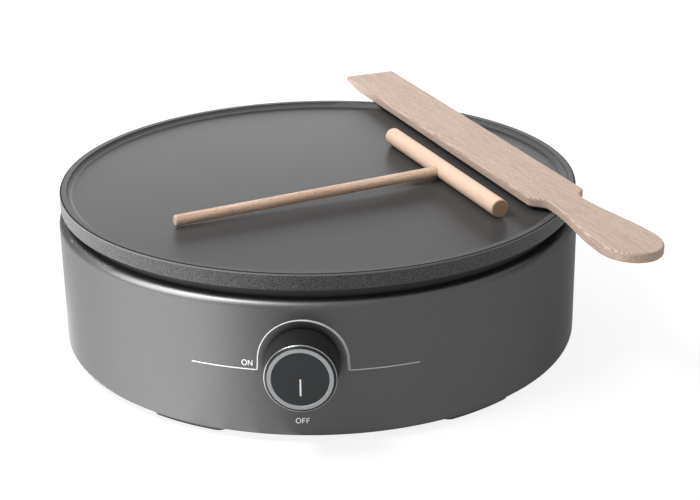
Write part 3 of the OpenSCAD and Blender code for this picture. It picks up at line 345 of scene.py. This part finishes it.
def beech_finish(name, pale, warm, line, end, angle, pitch, lean, ring_share, fleck_share):
    """Beech on every side of the solid: growth rings, short dark flecks and a soft streaky tone.

    The grain runs along the tool, at the given angle from the X axis. The rings are pitch
    millimetres apart and lean from upright, so they show as long lines on top and as slanted ones
    at the ends. They are weaker on the sides.
    """
    f = Finish(name, pale, 0.65, specular=0.12)

    def along_grain(vector):
        inputs = {"Vector": vector, "Angle": -math.radians(angle)}
        return f.add("VectorRotate", inputs, rotation_type="Z_AXIS").outputs[0]

    def fibres(scale, detail, roughness=0.5):
        """Noise whose scale, per millimetre, is given along the grain, across it and up."""
        return f.noise(f.stretched(scale, local), 1.0, detail, roughness)

    local = f.stretched([1 / MM] * 3, along_grain(f.place))      # millimetres, +X along the grain
    _, v, w = f.add("SeparateXYZ", {0: local}).outputs
    normal = along_grain(f.add("TexCoord").outputs["Normal"])
    facing, _, up = f.add("SeparateXYZ", {0: normal}).outputs
    cut = f.ramp(f.math("ABSOLUTE", facing), 0.55, 0.85)         # 1 where the grain is cut across
    side = f.ramp(f.math("ABSOLUTE", up), 0.75, 0.5)

    tilt = math.radians(lean)
    across = f.plus(f.times(v, math.cos(tilt)), f.times(w, math.sin(tilt)))
    across = f.plus(across, f.times(fibres((0.008, 0.03, 0.03), 2), 8.0))
    late_wood = f.band(f.math("FRACT", f.math("DIVIDE", across, pitch)), 0.35, 0.75, 0.88, 1.0)
    broken = f.ramp(fibres((0.12, 1.4, 1.4), 3), 0.3, 0.62, 0.5, 1)
    share = f.times(ring_share, f.math("SUBTRACT", 1.0, f.times(side, 0.65)))
    rings = f.times(late_wood, broken, f.plus(share, f.times(cut, 0.4)))
    flecks = f.ramp(fibres((0.35, 2.8, 2.4), 2, 0.6), 0.56, 0.66)
    dark_fibre = f.ramp(fibres((0.05, 1.6, 1.6), 3, 0.7), 0.62, 0.3, 0.0, 0.35)
    streak = f.ramp(fibres((0.012, 0.16, 0.16), 3, 0.6), 0.3, 0.7)

    colour = f.blend(streak, pale, warm)
    # cut ends take the end colour: darker end grain on the bar and the spatula, and a painted
    # highlight on the handle's ends
    colour = f.blend(cut, colour, end)
    for darker in (dark_fibre, rings, f.times(flecks, fleck_share)):
        colour = f.blend(darker, colour, line)
    f.set("Base Color", colour)
    f.set("Roughness", f.ramp(flecks, 0.0, 1.0, 0.62, 0.75))
    pores = f.math("SUBTRACT", fibres((0.4, 5, 5), 2), f.times(flecks, 0.4))
    f.set("Normal", f.bump(pores, 0.05, 0.5))
    return f.material


def paint_nodes():
    """Gives every CAD node its finish. The plain metal parts that aren't listed are zinc-plated."""
    zinc = metal_finish("plated_steel", (0.5, 0.5, 0.48), 0.36, along=(1, 1, 4))
    brass = metal_finish("brass_parts", (0.78, 0.58, 0.28), 0.32)
    copper = metal_finish("copper_tube", (0.72, 0.42, 0.26), 0.34)
    black = moulded_finish("black_moulding", 0.03, 0.6)
    rubber = moulded_finish("foot_rubber", 0.05, 0.6, 0.5, 0.03)
    ceramic = ceramic_finish()
    finishes = {
        "cooking_plate": coating_finish(),
        "drum_casing": casing_finish(),
        "base_cover": powder_finish(),
        "heating_element": sheath_finish(),
        "wire_live": sleeve_finish("wire_live", (0.3, 0.16, 0.09)),
        "wire_switched": sleeve_finish("wire_switched", (0.62, 0.6, 0.54)),
        "wire_fused": sleeve_finish("wire_fused", (0.62, 0.6, 0.54)),
        "wire_neutral": sleeve_finish("wire_neutral", (0.12, 0.2, 0.45)),
        "wire_earth": sleeve_finish("wire_earth", (0.3, 0.45, 0.1)),
        "knob_body": skirt_finish(),
        "knob_face": moulded_finish("knob_disc", 0.027, 0.5, 0.3, 0.008, -0.06, specular=0.25),
        "knob_trim_ring": trim_finish(),
        "knob_pointer": ink_finish("pointer_white", 0.97),
        "spreader_bar": beech_finish(
            "beech_bar", pale=(0.87, 0.65, 0.515), warm=(0.83, 0.61, 0.475),
            line=(0.66, 0.40, 0.25), end=(0.36, 0.25, 0.18), angle=BAR_ANGLE,
            pitch=1.5, lean=20.0, ring_share=0.2, fleck_share=0.35),
        "spreader_handle": beech_finish(
            "beech_handle", pale=(0.92, 0.69, 0.535), warm=(0.75, 0.53, 0.395),
            # the handle's end colour is near white: a painted highlight of the light from the left
            # on its end faces
            line=(0.30, 0.15, 0.08), end=(1.0, 0.9, 0.8), angle=HANDLE_ANGLE,
            pitch=1.2, lean=35.0, ring_share=0.4, fleck_share=0.6),
        "spatula": beech_finish(
            "beech_board", pale=(0.665, 0.525, 0.445), warm=(0.61, 0.475, 0.395),
            line=(0.26, 0.155, 0.10), end=(0.61, 0.475, 0.39), angle=SPATULA_ANGLE,
            pitch=1.08, lean=-42.0, ring_share=0.58, fleck_share=0.35),
        **dict.fromkeys(("neck_ring", "inlet_bush", "inlet_nut"), black),
        **dict.fromkeys(("sensor_bulb", "capillary_tube"), copper),
        **dict.fromkeys(("thermostat_tabs", "terminal_screws", "earth_screw"), brass),
        **dict.fromkeys(("thermostat_body", "thermal_fuse", "terminal_block"), ceramic),
        **dict.fromkeys(("foot_front_left", "foot_front_right",
                         "foot_back_left", "foot_back_right"), rubber),
    }
    for name, node in NODES.items():
        node.data.materials.clear()
        node.data.materials.append(finishes.get(name, zinc))
        node.shadow_terminator_geometry_offset = 1.0     # keeps highlights on facets even


# ---- Print on the casing ----

INK_LIFT = 0.05           # how far the ink stands out from the paint

# Scale round the knob: an arch on short legs, with a line to each side at its feet
ARCH_R = 23.6
ARCH_CENTRE_Z = KNOB_Z + 0.2
ARCH_FOOT_Z = KNOB_Z - 5.0
ARCH_STEP = 2.5           # degrees
LEG_FLARE = 0.35          # how far each foot stands outside the arch
LINE_STEPS = 24
LEFT_LINE_END = -60.5     # distances from the knob's axis, round the casing
RIGHT_LINE_END = 61.5
THIN = 0.55               # line widths
THICK = 1.35
WIDENING = (60, 90)       # degrees at which the arch starts to widen, and over which it does
HATCH_PITCH = 0.9         # of the fine ribs in the wide part of the arch
WORD_STROKE = 0.5
LETTERS = {               # strokes in a box of width 1 and height 1
    "O": [[(0.5 + 0.5 * math.sin(a * math.pi / 12), 0.5 - 0.5 * math.cos(a * math.pi / 12))
           for a in range(26)]],
    "N": [[(0, 0), (0, 1)], [(0, 1), (1, 0)], [(1, 0), (1, 1)]],
    "F": [[(0, 0), (0, 1)], [(0, 1), (1, 1)], [(0, 0.52), (0.85, 0.52)]],
}


def scale_finish():
    """White ink of the scale, greyer towards the right, with fine slanted ribs where the arch
    widens on its right.
    """
    f = Finish("scale_ink", grey(0.78), 0.55, specular=0.3)
    x, _, up = f.knob_axes()
    turn = f.math("ARCTAN2", x, up)                              # 0 on top, growing to the right
    ribs = f.plus(f.times(turn, ARCH_R / HATCH_PITCH), f.distance(x, up))
    ribs = f.times(f.ramp(f.math("FRACT", ribs), 0.35, 0.65), f.ramp(turn, 0.0, 0.6))
    # the ink goes from near white on top and on the left to grey on the right, and the line to the
    # right is grey
    greyer_to_right = f.blend(f.ramp(turn, 0.2, 1.6), grey(0.95), grey(0.45))
    arch = f.ramp(x, ARCH_R + 1.2, ARCH_R + 0.9)                 # 0 on the line to the right
    plain = f.blend(arch, grey(0.55), greyer_to_right)
    f.set("Base Color", f.blend(f.times(ribs, arch, 0.45), plain, grey(0.16)))
    return f.material


def on_casing(s, z, lift):
    """A point s to the right of the knob's axis, round the casing, and z above the floor."""
    angle = s / CASING_R
    radius = CASING_R + lift
    return Vector((radius * math.sin(angle), -radius * math.cos(angle), z)) * MM


def finish_mesh(name, mesh):
    bmesh.ops.recalc_face_normals(mesh, faces=mesh.faces)
    data = bpy.data.meshes.new(name)
    mesh.to_mesh(data)
    mesh.free()
    return data


def link_object(name, data):
    thing = bpy.data.objects.new(name, data)
    bpy.context.scene.collection.objects.link(thing)
    return thing


def add_piece(name, mesh, material, body):
    piece = link_object(name, mesh)
    mesh.materials.append(material)
    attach(piece, body)
    return piece


def ink_strip(mesh, points, widths):
    """Adds a closed ribbon of ink along the points, each (s, z), with a width at each."""
    rows = []
    for i, (point, width) in enumerate(zip(points, widths)):
        before = Vector(points[max(i - 1, 0)])
        after = Vector(points[min(i + 1, len(points) - 1)])
        along = (after - before).normalized()
        side = Vector((-along.y, along.x)) * width / 2
        left = Vector(point) + side
        right = Vector(point) - side
        rows.append([mesh.verts.new(on_casing(p.x, p.y, lift))
                     for p, lift in ((left, INK_LIFT), (right, INK_LIFT), (right, 0), (left, 0))])
    add_skin(mesh, rows)


def add_skin(mesh, rows):
    """Joins rows of four corners into a closed bar."""
    for a, b in zip(rows, rows[1:]):
        for k in range(4):
            mesh.faces.new((a[k], a[(k + 1) % 4], b[(k + 1) % 4], b[k]))
    mesh.faces.new(reversed(rows[0]))
    mesh.faces.new(rows[-1])


def arch_point(turn):
    """A point of the arch, from 0 at its left foot to 180 at its right."""
    t = math.radians(180 - turn)
    return (ARCH_R * math.cos(t), ARCH_CENTRE_Z + ARCH_R * math.sin(t))


def arch_width(turn):
    start, span = WIDENING
    return THIN + (THICK - THIN) * min(max((turn - start) / span, 0), 1)


def print_scale():
    turns = [ARCH_STEP * i for i in range(round(180 / ARCH_STEP) + 1)]
    left_foot = (-ARCH_R - LEG_FLARE, ARCH_FOOT_Z)
    right_foot = (ARCH_R + LEG_FLARE, ARCH_FOOT_Z)
    ink = bmesh.new()
    ink_strip(ink, [left_foot, *map(arch_point, turns), right_foot],
              [THIN, *map(arch_width, turns), THICK])
    for (foot, z), end in ((left_foot, LEFT_LINE_END), (right_foot, RIGHT_LINE_END)):
        line = [(foot + (end - foot) * i / LINE_STEPS, z) for i in range(LINE_STEPS + 1)]
        ink_strip(ink, line, [THIN] * len(line))
    add_piece("printed_scale", finish_mesh("printed_scale", ink), scale_finish(), "housing")


def print_word(name, letters, base_z, height, material):
    """Plain drawn capitals, each (letter, how far its left side is from the knob's axis, width)."""
    ink = bmesh.new()
    for letter, left, width in letters:
        for stroke in LETTERS[letter]:
            points = [(left + x * width, base_z + y * height) for x, y in stroke]
            ink_strip(ink, points, [WORD_STROKE] * len(points))
    add_piece(name, finish_mesh(name, ink), material, "housing")


# ---- Screw heads ----

HEAD_STEPS = 40           # facets round a head
CROWN_STEPS = 6           # facets down its rounded edge
CROWN_FLAT = 0.62         # radius of the flat middle, as a share of the head's
CROWN_DROP = 0.5          # height of the rounded edge, as a share of the head's
SHANK_SHARE = 0.5         # radius of the shank, as a share of the head's
RECESS_SPAN = 0.52        # half length and half width of the cross bars, as shares of the radius
RECESS_WIDTH = 0.11
RECESS_DEPTH = 0.75       # as a share of the head's height
RECESS_OPEN = (-0.5, 1.12, 1.1)             # ends of the tapered bars, outside and inside the head:
RECESS_FLOOR = (1.0, 0.45, 0.6)             # shares of the depth, half length and half width
FIRST_TURN = 0.7          # radians, so that the crosses don't stand alike
NEXT_TURN = 1.3


def islands(mesh):
    """Lowest and highest corner of each separate solid in a mesh."""
    seen = set()
    boxes = []
    for start in mesh.verts:
        if start in seen:
            continue
        group = [start]
        seen.add(start)
        for vertex in group:
            for edge in vertex.link_edges:
                other = edge.other_vert(vertex)
                if other not in seen:
                    seen.add(other)
                    group.append(other)
        boxes.append([Vector([pick(v.co[k] for v in group) for k in range(3)])
                      for pick in (min, max)])
    return boxes


def node_solids(node):
    """The box of each separate solid of a CAD node, whose mesh has unmerged corners."""
    mesh = bmesh.new()
    mesh.from_mesh(NODES[node].data)
    mesh.transform(NODES[node].matrix_world)
    bmesh.ops.remove_doubles(mesh, verts=mesh.verts, dist=0.001 * MM)
    boxes = islands(mesh)
    mesh.free()
    return boxes


def turned(mesh, profile):
    """Adds the solid that a profile of (radius, z) makes round the Z axis, from pole to pole."""
    angles = [2 * math.pi * i / HEAD_STEPS for i in range(HEAD_STEPS)]
    rings = []
    for radius, z in profile:
        if radius == 0:
            rings.append([mesh.verts.new((0, 0, z))])
        else:
            rings.append([mesh.verts.new((radius * math.cos(a), radius * math.sin(a), z))
                          for a in angles])
    for a, b in zip(rings, rings[1:]):
        for i in range(HEAD_STEPS):
            j = (i + 1) % HEAD_STEPS
            corners = [a[i % len(a)], a[j % len(a)], b[j % len(b)], b[i % len(b)]]
            mesh.faces.new(list(dict.fromkeys(corners)))


def pan_head(head_r, head_h, length):
    """Profile of a screw with its rounded head down and its plain shank up."""
    angles = [math.pi / 2 * i / CROWN_STEPS for i in range(CROWN_STEPS + 1)]
    crown = [(head_r * (CROWN_FLAT + (1 - CROWN_FLAT) * math.sin(a)),
              head_h * CROWN_DROP * (1 - math.cos(a))) for a in angles]
    shank_r = head_r * SHANK_SHARE
    return [(0, 0), *crown, (head_r, head_h), (shank_r, head_h), (shank_r, length), (0, length)]


def cross_cutter(mesh, span, width, depth):
    """Adds the tapered bars of a cross recess that opens downwards at z = 0."""
    for turn in (0, math.pi / 2):
        spin = Matrix.Rotation(turn, 3, "Z")
        add_skin(mesh, [[mesh.verts.new(spin @ Vector((x * span * wide, y * width * thick,
                                                       depth * deep)))
                         for x, y in ((-1, -1), (1, -1), (1, 1), (-1, 1))]
                        for deep, wide, thick in (RECESS_OPEN, RECESS_FLOOR)])


def cross_screws(name, node, head_share):
    """Pan-head screws with a cross recess, in place of a node's plain ones with their heads down.

    The head's height is the given share of its radius.
    """
    boxes = node_solids(node)
    low, high = boxes[0]
    head_r = (high.x - low.x) / 2
    head_h = head_r * head_share
    solid = bmesh.new()
    turned(solid, pan_head(head_r, head_h, high.z - low.z))
    screw = link_object(name, finish_mesh(name, solid))
    cutter = bmesh.new()
    cross_cutter(cutter, head_r * RECESS_SPAN, head_r * RECESS_WIDTH, head_h * RECESS_DEPTH)
    tool = link_object(name + ".cutter", finish_mesh(name + ".cutter", cutter))
    recess = screw.modifiers.new("recess", "BOOLEAN")
    recess.object = tool
    recess.operation = "DIFFERENCE"
    recess.use_self = True           # the cutter's two bars cross
    depsgraph = bpy.context.evaluated_depsgraph_get()
    one = bpy.data.meshes.new_from_object(screw.evaluated_get(depsgraph))
    for thing in (screw, tool):
        bpy.data.objects.remove(thing)

    every = bmesh.new()
    for k, (low, high) in enumerate(boxes):
        place = Matrix.Translation(((low.x + high.x) / 2, (low.y + high.y) / 2, low.z))
        part = one.copy()
        part.transform(place @ Matrix.Rotation(FIRST_TURN + NEXT_TURN * k, 4, "Z"))
        every.from_mesh(part)
        bpy.data.meshes.remove(part)
    mesh = bpy.data.meshes.new(name)
    every.to_mesh(mesh)
    every.free()
    piece = add_piece(name, mesh, bpy.data.materials["plated_steel"], "housing")
    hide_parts(node)


# ---- Floor, light and camera. Places and sizes of the stage are in metres. ----

WHITE = (1, 1, 1, 1)
AMBIENT = 0.38             # the world's light on the object
FLOOR_HALF = 4.0
FLOOR_TONE = 0.8
FLOOR_SHADOW = 0.22        # how far a shadow darkens the floor that the camera sees
FLOOR_GLOW = 0.86

FLAG_LOW = 0.5             # above the floor
FLAG_BACK = 1.15
FLAG_HALF = (1.3, 0.5)

CARD_TURN = -33.0          # degrees about Z
CARD_CORNER = (-0.0015, -0.0975, 0.001)
CARD_SHIFTS = (0.028, 0.009, -0.01, -0.029)     # of four cards to the right, for a soft edge
CARD_GAP = 0.0004          # between their heights, so that none hides another

CAMERA_AT = (58.5, -900.4, 413.5)          # millimetres
CAMERA_YAW = -2.563        # degrees, to the right of straight along +Y
CAMERA_PITCH = 22.078      # degrees below the horizon
CAMERA_ROLL = -0.761
LENS = 83.71
SENSOR = 36.0


def white_for_eye_and_gloss(tree):
    """One for rays that show the background: camera, glossy and transmission rays."""
    path = tree.nodes.new("ShaderNodeLightPath")
    total = path.outputs["Is Camera Ray"]
    for name in ("Is Glossy Ray", "Is Transmission Ray"):
        add = tree.nodes.new("ShaderNodeMath")
        add.operation = "ADD"
        add.use_clamp = True
        tree.links.new(total, add.inputs[0])
        tree.links.new(path.outputs[name], add.inputs[1])
        total = add.outputs[0]
    return total


def show_behind(tree, light, seen, output):
    """Gives rays that show the background one shader, and those that light the object another."""
    mix = tree.nodes.new("ShaderNodeMixShader")
    tree.links.new(white_for_eye_and_gloss(tree), mix.inputs[0])
    tree.links.new(light.outputs[0], mix.inputs[1])
    tree.links.new(seen.outputs[0], mix.inputs[2])
    tree.links.new(mix.outputs[0], tree.nodes[output].inputs["Surface"])


def make_world():
    world = bpy.data.worlds.new("studio")
    bpy.context.scene.world = world
    world.use_nodes = True
    tree = world.node_tree
    soft = tree.nodes["Background"]
    soft.inputs["Color"].default_value = WHITE
    soft.inputs["Strength"].default_value = AMBIENT
    white = tree.nodes.new("ShaderNodeBackground")
    white.inputs["Color"].default_value = WHITE
    white.inputs["Strength"].default_value = 1.0
    show_behind(tree, soft, white, "World Output")


def add_sheet(name, half):
    """A flat square of the stage, with a plain matt material."""
    mesh = bmesh.new()
    bmesh.ops.create_grid(mesh, x_segments=1, y_segments=1, size=half)
    sheet = link_object(name, finish_mesh(name, mesh))
    material = bpy.data.materials.new(name)
    material.use_nodes = True
    sheet.data.materials.append(material)
    paint = material.node_tree.nodes["Principled BSDF"]
    paint.inputs["Specular IOR Level"].default_value = 0.0
    return sheet, material.node_tree, paint


def make_floor():
    """A pale floor that reads as white and keeps a soft shadow."""
    floor, tree, paint = add_sheet("floor", FLOOR_HALF)
    floor.location.z = -0.1 * MM
    paint.inputs["Base Color"].default_value = (FLOOR_TONE, FLOOR_TONE, FLOOR_TONE, 1)
    paint.inputs["Roughness"].default_value = 1.0
    shadow = tree.nodes.new("ShaderNodeBsdfDiffuse")
    shadow.inputs["Color"].default_value = (FLOOR_SHADOW, FLOOR_SHADOW, FLOOR_SHADOW, 1)
    glow = tree.nodes.new("ShaderNodeEmission")
    glow.inputs["Strength"].default_value = FLOOR_GLOW
    seen = tree.nodes.new("ShaderNodeAddShader")
    tree.links.new(shadow.outputs[0], seen.inputs[0])
    tree.links.new(glow.outputs[0], seen.inputs[1])
    show_behind(tree, paint, seen, "Material Output")


def make_flag():
    """A black board behind, above the view's mirror line, that darkens the front of the plate."""
    flag, _, paint = add_sheet("flag", 1.0)
    flag.rotation_euler.x = math.radians(90)
    flag.scale = (*FLAG_HALF, 1)
    flag.location = (0, FLAG_BACK, FLAG_LOW + FLAG_HALF[1])
    flag.visible_camera = False
    flag.visible_diffuse = False
    flag.visible_shadow = False
    paint.inputs["Base Color"].default_value = (0.0, 0.0, 0.0, 1)


def add_panel(name, width, height, power):
    """A soft lamp that the camera doesn't see."""
    data = bpy.data.lights.new(name, "AREA")
    data.shape = "RECTANGLE"
    data.size = width
    data.size_y = height
    data.energy = power
    lamp = link_object(name, data)
    lamp.visible_camera = False
    return lamp


def add_lamp(name, place, aim, width, height, power):
    """A panel at one place that faces another."""
    lamp = add_panel(name, width, height, power)
    lamp.location = place
    lamp.rotation_euler = (Vector(aim) - Vector(place)).to_track_quat("-Z", "Y").to_euler()
    return lamp


def gloss_only(lamp, node):
    """Leaves a lamp nothing but the gloss of one node."""
    lamp.visible_diffuse = False
    lit = bpy.data.collections.new(lamp.name + "_lit")
    lit.objects.link(NODES[node])
    lamp.light_linking.receiver_collection = lit


def add_card(name, corner, width, depth, power):
    """A low glowing card left of the casing, flat above the floor, from its near right corner."""
    lamp = add_panel(name, width, depth, power)
    spin = Matrix.Rotation(math.radians(CARD_TURN), 4, "Z")
    middle = Matrix.Translation((-width / 2, -depth / 2, 0))
    face_up = Matrix.Rotation(math.radians(180), 4, "X")
    lamp.matrix_world = Matrix.Translation(corner) @ spin @ middle @ face_up


def make_light():
    add_lamp("key", (-0.5, 0.6, 1.1), (0, 0, 0.05), 0.8, 0.8, 4.5)
    add_lamp("spot", (-0.55, -0.3, 1.05), (0, 0, 0.05), 0.6, 0.25, 11)
    add_lamp("back", (0.0, 1.5, 0.3), (0, 0, 0.1), 1.4, 0.4, 5.5)
    gloss = add_lamp("gloss", (-0.737, -0.36, 0.72), (0, 0, 0.08), 0.8, 1.1, 34)
    gloss_only(gloss, "drum_casing")
    right = Matrix.Rotation(math.radians(CARD_TURN), 3, "Z") @ Vector((1, 0, 0))
    for k, shift in enumerate(CARD_SHIFTS):
        corner = Vector(CARD_CORNER) + right * shift + Vector((0, 0, CARD_GAP * k))
        add_card(f"card_{k}", corner, 0.8, 0.9, 1.93)
    add_card("card_behind", (0.189, 0.196, 0.001), 0.8, 0.35, 1.6)


def make_camera():
    data = bpy.data.cameras.new("camera")
    data.lens = LENS
    data.sensor_width = SENSOR
    data.sensor_fit = "HORIZONTAL"
    data.clip_start = 0.05
    data.clip_end = 50.0
    yaw, pitch, roll = (math.radians(a) for a in (CAMERA_YAW, CAMERA_PITCH, CAMERA_ROLL))
    forward = Vector((math.sin(yaw) * math.cos(pitch), math.cos(yaw) * math.cos(pitch),
                      -math.sin(pitch)))
    right = forward.cross(Vector((0, 0, 1))).normalized()
    up = right.cross(forward)
    turned_right = right * math.cos(roll) + up * math.sin(roll)
    turned_up = up * math.cos(roll) - right * math.sin(roll)
    axes = Matrix((turned_right, turned_up, -forward)).transposed()
    camera = link_object("camera", data)
    camera.matrix_world = Matrix.Translation(Vector(CAMERA_AT) * MM) @ axes.to_4x4()
    bpy.context.scene.camera = camera


paint_nodes()
print_scale()
word_ink = ink_finish("print_ink", 0.92)
print_word("print_on", [("O", -31.9, 2.5), ("N", -28.5, 2.0)], ARCH_FOOT_Z + 2.1, 2.9, word_ink)
print_word("print_off", [("O", -4.2, 2.4), ("F", -0.9, 1.5), ("F", 1.4, 1.5)], KNOB_Z - 34.9, 2.8,
           word_ink)
cross_screws("tie_screw_heads", "tie_screws", 0.65)
cross_screws("base_screw_heads", "base_screws", 0.55)
cross_screws("terminal_fixing_heads", "terminal_fixings", 0.55)
make_world()
make_floor()
make_light()
make_flag()
make_camera()
bpy.context.scene.view_settings.view_transform = "Standard"
